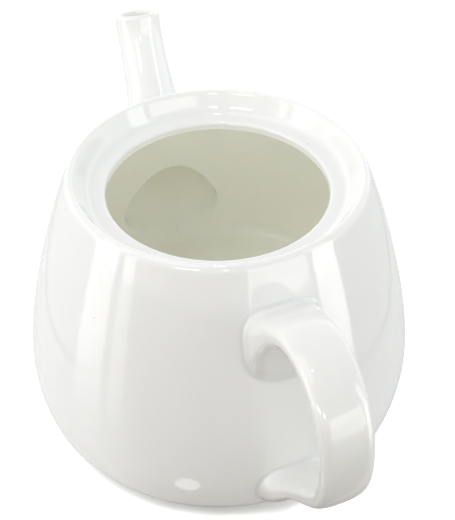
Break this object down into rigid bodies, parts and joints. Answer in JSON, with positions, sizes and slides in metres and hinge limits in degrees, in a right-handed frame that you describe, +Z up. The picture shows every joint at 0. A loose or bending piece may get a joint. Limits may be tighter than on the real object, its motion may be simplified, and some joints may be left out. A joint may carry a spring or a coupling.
{
  "type": "teapot",
  "caption": "Round-bellied glazed porcelain teapot with a strap handle, a tube spout, a stepped lid gallery and an open throat; no lid.",
  "frame": {"origin": "centre of the foot ring's contact plane, on the bowl's axis", "axes": "+Z up along the bowl's axis, +X towards the spout, handle along -X"},
  "size_m": [0.2204, 0.152, 0.1107],
  "materials": {
    "glaze": "gloss",
    "slip": "gloss"
  },
  "bodies": {
    "root": {"body": "glaze", "spout": "glaze", "handle": "glaze", "spout_slip_joint": "slip", "handle_upper_slip_joint": "slip", "handle_lower_slip_joint": "slip"}
  },
  "joints": []
}
